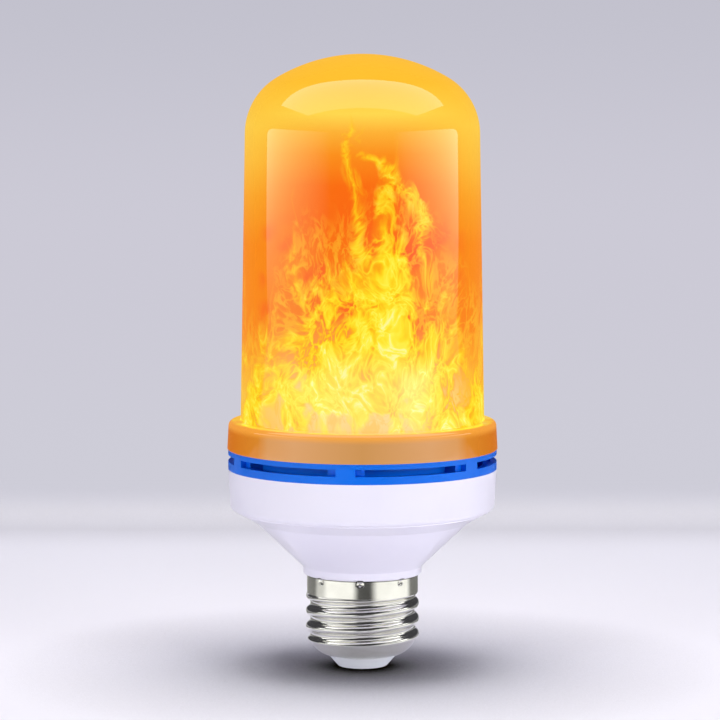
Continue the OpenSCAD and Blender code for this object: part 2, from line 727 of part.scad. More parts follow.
// A can lying along the board, with a pinched groove, and two legs bent into the face
module capacitor(d, l) {
    r = d / 2;
    groove = 0.4;
    leg_d = 0.6;
    translate([0, r, 0]) rotate_extrude() polygon(concat(
        [[0, 0], [r - 0.3, 0], [r, 0.3], [r, 1.2], [r - groove, 1.7], [r, 2.2]],
        arc(r - 0.6, l - 0.6, 0.6, 0, 90), [[0, l]]));
    for (side = [-1, 1]) translate([side * d / 5, r, -1.5]) {
        cylinder(d = leg_d, h = 1.6, $fn = 24);
        rotate([90, 0, 0]) cylinder(d = leg_d, h = r, $fn = 24);
        sphere(d = leg_d, $fn = 24);
    }
}

module input_capacitor() {
    color([0.15, 0.16, 0.2])
    on_board(-1, -0.23 * driver_w, wide_z + part_z) capacitor(input_cap_d, input_cap_l);
}

module output_capacitor() {
    color([0.15, 0.16, 0.2])
    on_board(1, 0.27 * driver_w, wide_z + part_z) capacitor(output_cap_d, output_cap_l);
}

// Inductor: a drum core standing along the board, with its winding between the cheeks
module power_inductor() {
    r = inductor_d / 2;
    cheek_t = 1.2;
    winding_r = r - 0.4;
    color([0.55, 0.3, 0.12])
    on_board(-1, 0.2 * driver_w, wide_z + part_z) translate([0, r, 0]) rotate_extrude() polygon([
        [0, 0], [r, 0], [r, cheek_t], [winding_r, cheek_t], [winding_r, inductor_l - cheek_t],
        [r, inductor_l - cheek_t], [r, inductor_l], [0, inductor_l]]);
}

// Fuse resistor: a dipped body with swollen ends and two legs bent into the board
module fuse_resistor() {
    r = fuse_d / 2;
    waist_r = r - 0.25;
    end_l = 1.8;
    leg_d = 0.6;
    leg_l = 1;
    color([0.45, 0.62, 0.55])
    on_board(-1, tongue_r / 2, board_z + 1.5 * part_z) translate([0, r, 0]) {
        rotate_extrude() polygon([
            [0, 0], [r - 0.4, 0], [r, 0.4], [r, end_l - 0.4], [waist_r, end_l],
            [waist_r, fuse_l - end_l], [r, fuse_l - end_l + 0.4], [r, fuse_l - 0.4],
            [r - 0.4, fuse_l], [0, fuse_l]]);
        for (z = [-leg_l, fuse_l + leg_l]) translate([0, 0, z]) {
            sphere(d = leg_d, $fn = 24);
            rotate([90, 0, 0]) cylinder(d = leg_d, h = r, $fn = 24);
        }
        translate([0, 0, -leg_l]) cylinder(d = leg_d, h = fuse_l + 2 * leg_l, $fn = 24);
    }
}

// A round lead swept along a smooth curve through its route's points. Its sections
// are spanned by the X direction, which no route runs along.
function route_point(a, b, c, d, t) =
    (2 * b + (c - a) * t + (2 * a - 5 * b + 4 * c - d) * t * t
     + (3 * b - a - 3 * c + d) * t * t * t) / 2;
function route_curve(route, steps) =
    let (last = len(route) - 1)
    [for (i = [0 : last - 1]) for (k = [0 : steps - 1])
        route_point(route[max(0, i - 1)], route[i], route[i + 1], route[min(last, i + 2)], k / steps),
     route[last]];
module lead(route) {
    sides = 10;
    curve = route_curve(route, 4);
    count = len(curve);
    function unit(v) = v / norm(v);
    function across(i) =
        let (along = unit(curve[min(count - 1, i + 1)] - curve[max(0, i - 1)]))
        let (v = unit(cross(along, [1, 0, 0]))) [cross(v, along), v];
    points = [for (i = [0 : count - 1]) let (f = across(i)) for (k = [0 : sides - 1])
        curve[i] + lead_d / 2 * (f[0] * cos(360 * k / sides) + f[1] * sin(360 * k / sides))];
    function at(i, k) = i * sides + k % sides;
    walls = [for (i = [0 : count - 2]) for (k = [0 : sides - 1]) each
        [[at(i, k), at(i, k + 1), at(i + 1, k + 1)], [at(i, k), at(i + 1, k + 1), at(i + 1, k)]]];
    ends = [[for (k = [sides - 1 : -1 : 0]) at(0, k)], [for (k = [0 : sides - 1]) at(count - 1, k)]];
    polyhedron(points, concat(walls, ends), convexity = 4);
}

// Distance of a lead's middle from the board's middle, where it lies on a face
lead_y = driver_t / 2 + lead_d / 2 + seat_gap;

module live_lead() {
    color([0.75, 0.15, 0.1]) lead([
        [0, -lead_y, board_z + lead_end_l], [0, -lead_y, board_z + lead_end_l / 3],
        [0, -lead_y, board_z - lead_d / 2], [0, -lead_y / 2, board_z - lead_end_l / 2],
        [0, 0, board_z - 0.75 * lead_end_l], [0, 0, insulator_z + 2 * seat_gap]]);
}

// The neutral lead passes under the spigot's edge and up its slot, against the shell
module neutral_lead() {
    color([0.2, 0.3, 0.7]) lead([
        [0, lead_y, board_z + lead_end_l], [0, lead_y, board_z + lead_end_l / 4],
        [0, lead_y + lead_d / 2, board_z - lead_d],
        [0, lead_y + 2.75 * lead_d, spigot_z - 0.75 * lead_d],
        [0, lead_slot_y - 1.25 * lead_d, spigot_z - lead_d], [0, lead_slot_y, spigot_z - 0.95 * lead_d],
        [0, shell_lead_y, spigot_z + lead_d / 4], [0, shell_lead_y, spigot_z + lead_slot_h - lead_d]]);
}

// A lead that rises from one face of the driver board to the control board
function rising_route(x, side) = [
    [x, side * lead_y, driver_top_z - lead_end_l / 2], [x, side * (lead_y + fit_gap), driver_top_z],
    [x, side * 0.75 * lead_out, deck_z], [x, side * lead_out, control_z - lead_end_l / 3],
    [x, side * lead_out, control_z - seat_gap]];

module lead_positive() {
    color([0.8, 0.1, 0.1]) lead(rising_route(lead_spread / 2, -1));
}

module lead_negative() {
    color([0.1, 0.1, 0.1]) lead(rising_route(-lead_spread / 2, 1));
}

// Pan head screws with a cross recess, their points in the housing's posts
module carrier_screws() {
    head_h = 1.4;
    recess_w = 0.6;
    recess_l = 2.2;
    tip_h = 1;
    color([0.7, 0.7, 0.72])
    around(screw_count, back) translate([screw_circle_r, 0, foot_z + foot_t])
    difference() {
        rotate_extrude() polygon(concat(
            [[0, -screw_l], [0.3, -screw_l], [screw_d / 2, tip_h - screw_l], [screw_d / 2, 0],
             [screw_head_d / 2, 0]],
            arc(screw_head_d / 2 - 0.6, head_h - 0.6, 0.6, 0, 90), [[0, head_h]]));
        for (turn = [0, 90]) rotate(turn)
            translate([-recess_l / 2, -recess_w / 2, head_h / 2]) cube([recess_l, recess_w, head_h]);
    }
}

diffuser();
vent_ring();
housing();
screw_shell();
cap_insulator();
centre_contact();
led_carrier();
carrier_cap();
led_board();
for (i = [1 : led_rows])
    led_row(i);
control_board();
flame_controller();
row_transistors();
driver_board();
bridge_rectifier();
driver_chip();
input_capacitor();
output_capacitor();
power_inductor();
fuse_resistor();
live_lead();
neutral_lead();
lead_positive();
lead_negative();
carrier_screws();
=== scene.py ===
"""Dresses the flame effect LED bulb and sets it cap down on a pale floor in soft light."""

import math

import bpy
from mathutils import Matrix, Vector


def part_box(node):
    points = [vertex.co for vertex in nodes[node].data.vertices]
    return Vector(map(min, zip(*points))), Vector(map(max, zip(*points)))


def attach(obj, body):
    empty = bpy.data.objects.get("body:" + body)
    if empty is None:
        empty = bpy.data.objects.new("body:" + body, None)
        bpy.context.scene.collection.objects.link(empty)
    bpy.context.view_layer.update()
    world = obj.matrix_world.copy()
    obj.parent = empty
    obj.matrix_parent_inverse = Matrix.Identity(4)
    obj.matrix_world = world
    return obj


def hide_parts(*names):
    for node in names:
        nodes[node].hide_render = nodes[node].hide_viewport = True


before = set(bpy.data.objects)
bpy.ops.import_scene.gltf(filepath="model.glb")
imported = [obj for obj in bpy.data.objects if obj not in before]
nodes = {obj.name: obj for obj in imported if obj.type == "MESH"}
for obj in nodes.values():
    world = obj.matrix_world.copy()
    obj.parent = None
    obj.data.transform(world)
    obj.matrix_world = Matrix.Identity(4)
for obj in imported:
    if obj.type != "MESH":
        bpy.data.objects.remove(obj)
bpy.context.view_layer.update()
mm = 0.001

# Camera. A long lens stands well back from the bulb, a little above its dome, and looks
# slightly down, so that the collar, the ring and the band show as shallow ellipses.
camera_distance = 782.8 * mm
camera_height = 146.5 * mm
camera_shift_left = 0.56 * mm
look_down = math.radians(5.46)

lens = bpy.data.cameras.new("camera")
lens.sensor_width = 36
lens.lens = 170
lens.clip_start = 0.01
lens.clip_end = 50
camera = bpy.data.objects.new("camera", lens)
camera.location = (-camera_shift_left, -camera_distance, camera_height)
camera.rotation_euler = (math.pi / 2 - look_down, 0, 0)
bpy.context.scene.collection.objects.link(camera)
bpy.context.scene.camera = camera
bpy.context.scene.view_settings.view_transform = "Standard"


# Floor and backdrop: one pale sheet that lies flat under the bulb and is swept up into a
# wall close behind it. The floor takes the bulb's soft shadow from the lamps, and for the
# camera a painted shadow darkens it further where the bulb closes it in. From behind and
# from below the sheet is clear, so that the bulb can be looked at from all round.
def colour(red, green, blue):
    """A colour read off a screen, 0 to 255, as the linear values that a shader takes."""
    def linear(value):
        value /= 255
        return value / 12.92 if value <= 0.04045 else ((value + 0.055) / 1.055) ** 2.4
    return (linear(red), linear(green), linear(blue), 1)


def put(tree, kind, inputs=None, **settings):
    """Adds a shader node, with its settings, and its inputs given as values or as links."""
    made = tree.nodes.new("ShaderNode" + kind)
    for key, value in settings.items():
        setattr(made, key, value)
    for key, value in (inputs or {}).items():
        if isinstance(value, bpy.types.NodeSocket):
            tree.links.new(value, made.inputs[key])
        else:
            made.inputs[key].default_value = value
    return made


def calc(tree, operation, *values, clamp=False):
    """A Math node on these numbers or links, and its result."""
    made = put(tree, "Math", dict(enumerate(values)), operation=operation, use_clamp=clamp)
    return made.outputs[0]


def between(tree, value, low, high, to_low=0.0, to_high=1.0, smooth=True):
    """Takes a value from one range to another, eased at both ends or straight, and holds
    it there."""
    return put(tree, "MapRange", {"Value": value, "From Min": low, "From Max": high,
                                  "To Min": to_low, "To Max": to_high},
               interpolation_type="SMOOTHSTEP" if smooth else "LINEAR").outputs[0]


def blended(tree, factor, under, over):
    """One colour laid over another by a factor."""
    return put(tree, "Mix", {"Factor": factor, "A": under, "B": over},
               data_type="RGBA").outputs["Result"]


def ramp(tree, factor, *stops, smooth=True):
    """A colour ramp through (place, colour) stops, and its result."""
    made = put(tree, "ValToRGB", {"Fac": factor})
    made.color_ramp.interpolation = "EASE" if smooth else "LINEAR"
    for i, (place, tone) in enumerate(stops):
        stop = made.color_ramp.elements[i] if i < 2 else made.color_ramp.elements.new(place)
        stop.position = place
        stop.color = tone
    return made.outputs[0]


def new_material(name):
    """A material with its Principled shader, and the places that its patterns are read at."""
    made = bpy.data.materials.new(name)
    made.use_nodes = True
    tree = made.node_tree
    shader = tree.nodes["Principled BSDF"]
    place = put(tree, "TexCoord").outputs["Object"]
    return made, tree, shader, place


sheet_w = 6.0
floor_front = -3.0
sweep_start = 0.22
sweep_r = 0.03
sweep_steps = 12
wall_top = 3.0

bpy.ops.object.select_all(action="DESELECT")
bpy.ops.mesh.primitive_plane_add(size=1)
sheet = bpy.context.object
sheet.name = "backdrop"
bpy.ops.object.mode_set(mode="EDIT")
bpy.ops.mesh.select_all(action="SELECT")
bpy.ops.transform.resize(value=(sheet_w, sweep_start - floor_front, 1))
bpy.ops.transform.translate(value=(0, (sweep_start + floor_front) / 2, 0))
bpy.ops.mesh.select_mode(type="EDGE")
bpy.ops.mesh.select_all(action="DESELECT")
bpy.ops.object.mode_set(mode="OBJECT")
for edge in sheet.data.edges:
    edge.select = all(sheet.data.vertices[i].co.y > sweep_start - 0.001 for i in edge.vertices)
bpy.ops.object.mode_set(mode="EDIT")
for i in range(sweep_steps):
    a, b = (math.pi / 2 * k / sweep_steps for k in (i, i + 1))
    bpy.ops.mesh.extrude_region_move(TRANSFORM_OT_translate={
        "value": (0, sweep_r * (math.sin(b) - math.sin(a)), sweep_r * (math.cos(a) - math.cos(b)))})
bpy.ops.mesh.extrude_region_move(TRANSFORM_OT_translate={"value": (0, 0, wall_top - sweep_r)})
bpy.ops.object.mode_set(mode="OBJECT")
bpy.ops.object.shade_smooth_by_angle(angle=math.radians(30))

paper, tree, shader, place = new_material("backdrop_paper")
depth = put(tree, "SeparateXYZ", {"Vector": place})
# Painted fall-off of the light: the floor is lighter at the front and darker towards the back, and
# the wall darker towards its top.
floor_tone = ramp(tree, between(tree, depth.outputs["Y"], -0.2, 0.28, smooth=False),
                  (0, colour(237, 236, 243)), (1, colour(219, 218, 225)))
rise = between(tree, depth.outputs["Z"], 0.0025, 0.0115)
wall_tone = ramp(tree, between(tree, depth.outputs["Z"], 0, 0.17, smooth=False),
                 (0, colour(206, 205, 216)), (0.5, colour(204, 202, 214)),
                 (1, colour(194, 193, 205)))
shader.inputs["Roughness"].default_value = 0.9
shader.inputs["Specular IOR Level"].default_value = 0
path = put(tree, "LightPath")
# Painted shadow: seen by the camera, the floor is darkened towards near black where the bulb closes
# it in, most strongly round and in front of the bulb.
near_bulb = between(tree, depth.outputs["Y"], 0.17, 0.1, 0.78, 1.35, smooth=False)
open_sky = put(tree, "AmbientOcclusion", {"Distance": 0.07}, samples=8).outputs["AO"]
painted_contact_shadow = calc(tree, "MULTIPLY", calc(tree, "MULTIPLY", path.outputs["Is Camera Ray"], near_bulb),
                 calc(tree, "SUBTRACT", 1, open_sky))
# The painted shadow's tone is near black.
sheet_tone = blended(tree, painted_contact_shadow, blended(tree, rise, floor_tone, wall_tone),
                     (0.005, 0.003, 0, 1))
tree.links.new(sheet_tone, shader.inputs["Base Color"])
seen = calc(tree, "MAXIMUM", path.outputs["Is Camera Ray"], path.outputs["Is Glossy Ray"])
wall_glow = put(tree, "Emission", {"Color": wall_tone, "Strength": calc(
    tree, "MULTIPLY_ADD", path.outputs["Is Glossy Ray"], -0.9, 1)})
front = put(tree, "MixShader", {0: calc(tree, "MULTIPLY", seen, rise), 1: shader.outputs[0],
                                2: wall_glow.outputs[0]})
from_behind = calc(tree, "MULTIPLY", path.outputs["Is Camera Ray"],
                   put(tree, "NewGeometry").outputs["Backfacing"])
one_sided = put(tree, "MixShader", {0: from_behind, 1: front.outputs[0],
                                    2: put(tree, "BsdfTransparent").outputs[0]})
tree.links.new(one_sided.outputs[0], tree.nodes["Material Output"].inputs["Surface"])
sheet.data.materials.append(paper)


# Studio light: a long soft box on each side of the bulb and a broad one overhead, which
# only show as fading panels in what reflects them. A key lamp over the bulb and a fill on
# each side, which nothing reflects, give the soft even level.
def soft_box(name, centre, toward, width, height, brightness, fades=(), corner=None):
    """A rectangular lamp that faces a point. Brightness 1 looks as white paper does. Each
    fade is (axis, share at its start, share at its end), held to the range 0 to 1, and
    runs from left to right or from the foot up. A corner is rounded by (width, height)."""
    light = bpy.data.lights.new(name, "AREA")
    light.shape = "RECTANGLE"
    light.size = width
    light.size_y = height
    light.energy = brightness * math.pi * width * height
    light.use_nodes = True
    tree = light.node_tree
    where = put(tree, "SeparateXYZ", {0: put(tree, "NewGeometry").outputs["Parametric"]})
    strength = 1.0
    for axis, low, high in fades:
        share = calc(tree, "MULTIPLY_ADD", where.outputs[axis], high - low, low, clamp=True)
        strength = calc(tree, "MULTIPLY", strength, share)
    if corner:
        away = 0.0
        for axis, size, r in (("X", width, corner[0]), ("Y", height, corner[1])):
            off = calc(tree, "ABSOLUTE", calc(tree, "SUBTRACT", where.outputs[axis], 0.5))
            past = calc(tree, "MAXIMUM", 0, calc(
                tree, "MULTIPLY_ADD", off, size / r, 1 - size / (2 * r)))
            away = calc(tree, "MULTIPLY_ADD", past, past, away)
        strength = calc(tree, "MULTIPLY", strength, calc(tree, "LESS_THAN", away, 1))
    if fades or corner:
        tree.links.new(strength, tree.nodes["Emission"].inputs["Strength"])
    lamp = bpy.data.objects.new(name, light)
    lamp.location = centre
    lamp.visible_camera = False
    reach = [b - a for a, b in zip(centre, toward)]
    azimuth = math.atan2(-reach[0], reach[1])
    fall = math.atan2(math.hypot(reach[0], reach[1]), -reach[2])
    lamp.rotation_euler = (fall, 0, azimuth)
    bpy.context.scene.collection.objects.link(lamp)
    return lamp


# Where the upright edges of the right side box stand. The left one mirrors it.
box_near = (0.20, -0.66)
box_far = (0.52, 0.13)
box_top = 0.178
box_low = 0.05
box_w = math.dist(box_near, box_far)
for side, hand, level, fade in ((-1, "left", 2.4, ("X", 1, -0.3)),
                                (1, "right", 2.9, ("X", -0.3, 1))):
    middle_x = side * (box_near[0] + box_far[0]) / 2
    middle_y = (box_near[1] + box_far[1]) / 2
    middle_z = (box_top + box_low) / 2
    facing_x = -side * (box_far[1] - box_near[1])
    facing_y = box_far[0] - box_near[0]
    side_box = soft_box("side_box_" + hand, (middle_x, middle_y, middle_z),
                        (middle_x + facing_x, middle_y + facing_y, middle_z),
                        box_w, box_top - box_low, level,
                        fades=[fade, ("Y", 0, 1.8)], corner=(0.09, 0.06))
    side_box.visible_diffuse = False

top_y, top_z = -0.09, 0.75
top_box = soft_box("top_box", (0, top_y, top_z), (0, top_y, 0), 1.9, 0.93, 2.5,
                   fades=[("Y", 0.46, 1)])
top_box.visible_diffuse = False
key = soft_box("key", (0, -0.05, 0.95), (0, 0, 0), 0.6, 0.6, 6.1)
key.visible_glossy = False
for side, hand, level in ((-1, "left", 8.2), (1, "right", 12.2)):
    fill = soft_box("fill_" + hand, (side * 1.05, -0.78, 0.27), (0, 0, 0.05), 0.8, 0.28, level)
    fill.visible_glossy = False

world = bpy.data.worlds.new("studio")
world.use_nodes = True
tree = world.node_tree
surround = tree.nodes["Background"]
surround.inputs["Color"].default_value = (0.95, 0.95, 1, 1)
path = put(tree, "LightPath")
surround_level = calc(tree, "MULTIPLY_ADD", path.outputs["Is Glossy Ray"], -0.05, 0.1)
tree.links.new(calc(tree, "MULTIPLY_ADD", path.outputs["Is Camera Ray"], 0.5, surround_level),
               surround.inputs["Strength"])
bpy.context.scene.world = world

# White and dark wedges on the floor round the bulb, which only reflections see, give the
# polished cap its streaks. Each entry is (degrees from the front, brightness).
wedges = [(-180, 0.5), (-155, 0.45), (-148, 0.24), (-112, 0.22), (-102, 0.7), (-84, 0.8),
          (-74, 1.2), (-20, 1.2), (-8, 0.1), (16, 0.08), (30, 1.2), (100, 1.2), (114, 0.22),
          (164, 0.22), (180, 0.5)]
mat_low_r, mat_high_r = 0.045, 0.6
bpy.ops.object.select_all(action="DESELECT")
bpy.ops.mesh.primitive_circle_add(vertices=96, radius=mat_low_r, location=(0, 0, 0.1 * mm))
mat = bpy.context.object
mat.name = "reflector_mat"
bpy.ops.object.transform_apply(location=True)
bpy.ops.object.mode_set(mode="EDIT")
bpy.ops.mesh.select_all(action="SELECT")
bpy.ops.mesh.extrude_region_move()
bpy.ops.transform.resize(value=(mat_high_r / mat_low_r, mat_high_r / mat_low_r, 1))
bpy.ops.object.mode_set(mode="OBJECT")
card, tree, shader, place = new_material("reflector_card")
tree.nodes.remove(shader)
axes = put(tree, "SeparateXYZ", {0: place})
turn = calc(tree, "ARCTAN2", axes.outputs["X"], calc(tree, "MULTIPLY", axes.outputs["Y"], -1))
brightness = ramp(tree, calc(tree, "MULTIPLY_ADD", turn, 0.5 / math.pi, 0.5),
                  *[((degrees + 180) / 360, (level, level, level * 0.97, 1))
                    for degrees, level in wedges], smooth=False)
tree.links.new(put(tree, "Emission", {"Color": brightness}).outputs[0],
               tree.nodes["Material Output"].inputs["Surface"])
card.cycles.emission_sampling = "NONE"
mat.data.materials.append(card)
mat.visible_camera = mat.visible_diffuse = mat.visible_shadow = mat.visible_transmission = False


# Screw shell: thin brass sheet, drawn to a cup, rolled to the thread and nickel plated.
# It is pushed over the housing's spigot, and eight punch marks round its plain skirt stake
# it there.
def arc(x, z, r, start, end, step=3):
    """Points from one angle to another, in degrees, on a circle round (x, z)."""
    count = max(2, math.ceil(abs(end - start) / step))
    angles = [math.radians(start + (end - start) * i / count) for i in range(count + 1)]
    return [(x + r * math.cos(a), z + r * math.sin(a)) for a in angles]


def turned(name, outline, sides):
    """Draws a ring of edges up through an outline's (radius, height) points, round the
    axis, and closes it where the outline ends at its first point or on the axis."""
    pole = 0.001 * mm
    bpy.ops.object.select_all(action="DESELECT")
    radius, height = max(outline[0][0], pole), outline[0][1]
    bpy.ops.mesh.primitive_circle_add(vertices=sides, radius=radius, location=(0, 0, height))
    made = bpy.context.object
    made.name = name
    bpy.ops.object.transform_apply(location=True)
    bpy.ops.object.mode_set(mode="EDIT")
    bpy.ops.mesh.select_all(action="SELECT")
    for next_radius, next_height in outline[1:]:
        next_radius = max(next_radius, pole)
        bpy.ops.mesh.extrude_region_move(
            TRANSFORM_OT_translate={"value": (0, 0, next_height - height)})
        if abs(next_radius - radius) > 1e-9:
            bpy.ops.transform.resize(value=(next_radius / radius, next_radius / radius, 1),
                                     center_override=(0, 0, next_height))
        radius, height = next_radius, next_height
    bpy.ops.mesh.select_all(action="SELECT")
    bpy.ops.mesh.remove_doubles(threshold=0.004 * mm)
    bpy.ops.mesh.normals_make_consistent(inside=False)
    bpy.ops.object.mode_set(mode="OBJECT")
    bpy.ops.object.shade_smooth_by_angle(angle=math.radians(40))
    return made


def steps(low, high, size):
    """Even steps from low up to, and without, high."""
    count = math.ceil((high - low) / size)
    return [low + (high - low) * i / count for i in range(count)]


shell_low, shell_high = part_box("screw_shell")
crest_r = shell_high.x
thread_depth = 1.05 * mm
pitch = 3.63 * mm
root_r = crest_r - thread_depth
skirt_r = crest_r - 0.25 * mm
shell_wall = 0.35 * mm
lip_z, neck_z = shell_low.z, shell_high.z
skirt_z = neck_z - 4.2 * mm
thread_z = lip_z + 3 * mm
crest_z = skirt_z - 2.7 * mm
bowl_w = 3.9 * mm
bowl_r = 6 * mm
bowl_half = math.hypot(bowl_w, thread_z - lip_z) / 2
bowl_back = math.sqrt(bowl_r ** 2 - bowl_half ** 2)
bowl_x = root_r - bowl_w / 2 - bowl_back * (thread_z - lip_z) / (2 * bowl_half)
bowl_z = (lip_z + thread_z) / 2 + bowl_back * bowl_w / (2 * bowl_half)
lip_turn = math.degrees(math.atan2(lip_z - bowl_z, root_r - bowl_w - bowl_x))
bowl_turn = math.degrees(math.atan2(thread_z - bowl_z, root_r - bowl_x))
dimple_count, dimple_w, dimple_depth = 8, 0.75 * mm, 0.4 * mm
dimple_turn = math.radians(-2.5)
dimple_z = neck_z - 0.8 * mm


def eased(t):
    """From 0 to 1, slow at both ends, and held beyond them."""
    t = min(1, max(0, t))
    return t * t * (3 - 2 * t)


def thread_at(z, angle):
    """Radius of the rolled thread: crests and roots are equal arcs, and both fade out
    towards the skirt and the bowl."""
    turns = (z - crest_z) / pitch - angle / (2 * math.pi)
    off = abs(turns - round(turns)) * pitch
    quarter = pitch / 4
    wave_r = (quarter ** 2 + thread_depth ** 2 / 4) / thread_depth
    if off < quarter:
        waved = crest_r - wave_r + math.sqrt(wave_r ** 2 - off ** 2)
    else:
        waved = root_r + wave_r - math.sqrt(wave_r ** 2 - (2 * quarter - off) ** 2)
    top = eased((skirt_z - z) / (0.35 * pitch))
    low = eased((z - thread_z) / (0.25 * pitch))
    return skirt_r * (1 - top) + top * (root_r * (1 - low) + low * waved)


outside = (arc(bowl_x, bowl_z, bowl_r, lip_turn, bowl_turn, 4)[:-1]
           + [(root_r, z) for z in steps(thread_z, skirt_z, pitch / 18)]
           + [(skirt_r, z) for z in steps(skirt_z, neck_z, 0.15 * mm)] + [(skirt_r, neck_z)])
inside = (arc(bowl_x, bowl_z, bowl_r - shell_wall, lip_turn, bowl_turn, 8)[:-1]
          + [(root_r - shell_wall, z) for z in steps(thread_z + shell_wall, skirt_z, pitch / 12)]
          + [(skirt_r - shell_wall, z) for z in steps(skirt_z, neck_z, 0.4 * mm)]
          + [(skirt_r - shell_wall, neck_z)])
shell = turned("rolled_shell", outside + inside[::-1] + outside[:1], 288)
for point in shell.data.vertices:
    x, y, z = point.co
    radius, angle = math.hypot(x, y), math.atan2(y, x)
    if thread_z <= z < skirt_z - 1e-7:
        inset = shell_wall if radius < root_r - shell_wall / 2 else 0
        moved = thread_at(z, angle) - inset
    elif z >= skirt_z - 1e-7:
        from_front = (angle + math.pi / 2 - dimple_turn) / (2 * math.pi) * dimple_count
        aside = (from_front - round(from_front)) * 2 * math.pi / dimple_count * skirt_r
        away = math.hypot(aside, z - dimple_z) / dimple_w
        moved = radius - dimple_depth * eased(1.12 - away) ** 0.8
    else:
        continue
    point.co.x, point.co.y = x * moved / radius, y * moved / radius

nickel, tree, shader, place = new_material("nickel_plate")
shader.inputs["Metallic"].default_value = 1
drawn = put(tree, "Mapping", {"Vector": place, "Scale": (60, 60, 2600)})
streaks = put(tree, "TexNoise", {"Vector": drawn.outputs[0], "Scale": 1, "Detail": 3})
cloud = put(tree, "TexNoise", {"Vector": place, "Scale": 160, "Detail": 4})
plate = ramp(tree, cloud.outputs[0], (0.3, colour(228, 227, 220)), (0.7, colour(240, 239, 233)))
# A thin band round the top of the skirt, under the housing's neck, is painted dark grey: painted
# shade in the gap between the shell and the neck.
painted_neck_gap_shade = between(tree, put(tree, "SeparateXYZ", {0: place}).outputs["Z"],
                   neck_z - 0.4 * mm, neck_z - 0.2 * mm, 0, 0.85, smooth=False)
tree.links.new(blended(tree, painted_neck_gap_shade, plate, colour(70, 68, 66)), shader.inputs["Base Color"])
tree.links.new(between(tree, streaks.outputs[0], 0, 1, 0.08, 0.2, smooth=False),
               shader.inputs["Roughness"])
grain = put(tree, "Bump", {"Height": streaks.outputs[0], "Strength": 0.08, "Distance": 0.0001})
tree.links.new(grain.outputs[0], shader.inputs["Normal"])
shell.data.materials.append(nickel)
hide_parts("screw_shell")
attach(shell, "root")


# Cap insulator and centre contact: a pale moulded plug closes the shell's end, and a
# plated eyelet is riveted through its middle.
def finish_node(name, finish):
    """Gives a CAD node its material."""
    nodes[name].data.materials.clear()
    nodes[name].data.materials.append(finish)


def moulded(name, low, high, roughness, coat=0.0, gloss=0.5):
    """A moulded plastic: a faint cloud between two tones, and a fine even grain."""
    made, tree, shader, place = new_material(name)
    cloud = put(tree, "TexNoise", {"Vector": place, "Scale": 45, "Detail": 3})
    grain = put(tree, "TexNoise", {"Vector": place, "Scale": 900, "Detail": 2})
    tree.links.new(ramp(tree, cloud.outputs[0], (0.3, low), (0.7, high)),
                   shader.inputs["Base Color"])
    tree.links.new(between(tree, grain.outputs[0], 0, 1, roughness - 0.05, roughness + 0.05,
                           smooth=False), shader.inputs["Roughness"])
    rough = put(tree, "Bump", {"Height": grain.outputs[0], "Strength": 0.06, "Distance": 0.0001})
    tree.links.new(rough.outputs[0], shader.inputs["Normal"])
    shader.inputs["Specular IOR Level"].default_value = gloss
    shader.inputs["Coat Weight"].default_value = coat
    shader.inputs["Coat Roughness"].default_value = 0.12
    return made


finish_node("cap_insulator", moulded("pale_cap_plug", colour(244, 247, 255),
                                     colour(248, 251, 255), 0.35))
finish_node("centre_contact", nickel)

# Housing: white polycarbonate, moulded in one with the neck, the cone and the band, with
# a satin surface off a polished tool. The vent ring stands in its open top.
finish_node("housing", moulded("white_housing", colour(239, 236, 251), colour(243, 240, 253),
                               0.36, coat=0.15))

# Driver board: a green glass fibre board with the mains parts soldered to its two faces,
# slid down between the housing's guides. Its chips are moulded in black epoxy.
finish_node("driver_board", moulded("green_board", colour(30, 92, 52), colour(36, 104, 60), 0.42,
                                    coat=0.5))
black_epoxy = moulded("black_epoxy", colour(24, 24, 26), colour(36, 36, 38), 0.5)
for name in ("bridge_rectifier", "driver_chip"):
    finish_node(name, black_epoxy)


def sleeved(name, sleeve, stripe, spot_x, spot_y, top_z, stripe_turn):
    """A shrunk vinyl sleeve round an upright can, with a pale stripe down one side and the
    bare aluminium end showing on top."""
    made, tree, shader, place = new_material(name)
    axes = put(tree, "SeparateXYZ", {0: put(tree, "VectorMath", {0: place, 1: (spot_x, spot_y, 0)},
                                            operation="SUBTRACT").outputs[0]})
    turn = calc(tree, "ARCTAN2", axes.outputs["Y"], axes.outputs["X"])
    off = calc(tree, "ABSOLUTE", calc(tree, "WRAP", calc(tree, "SUBTRACT", turn, stripe_turn),
                                      math.pi, -math.pi))
    marked = calc(tree, "LESS_THAN", off, 0.35)
    bare = calc(tree, "GREATER_THAN", axes.outputs["Z"], top_z - 0.1 * mm)
    grain = put(tree, "TexNoise", {"Vector": place, "Scale": 700, "Detail": 2})
    aluminium = ramp(tree, grain.outputs[0], (0.3, colour(196, 197, 199)),
                     (0.7, colour(210, 211, 213)))
    tone = blended(tree, bare, blended(tree, marked, sleeve, stripe), aluminium)
    tree.links.new(tone, shader.inputs["Base Color"])
    tree.links.new(bare, shader.inputs["Metallic"])
    shader.inputs["Roughness"].default_value = 0.3
    return made


for name in ("input_capacitor", "output_capacitor"):
    low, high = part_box(name)
    side = -1 if low.y + high.y < 0 else 1
    finish_node(name, sleeved(name + "_sleeve", colour(26, 30, 44), colour(186, 190, 200),
                              (low.x + high.x) / 2, (low.y + high.y) / 2, high.z,
                              side * math.pi / 2))

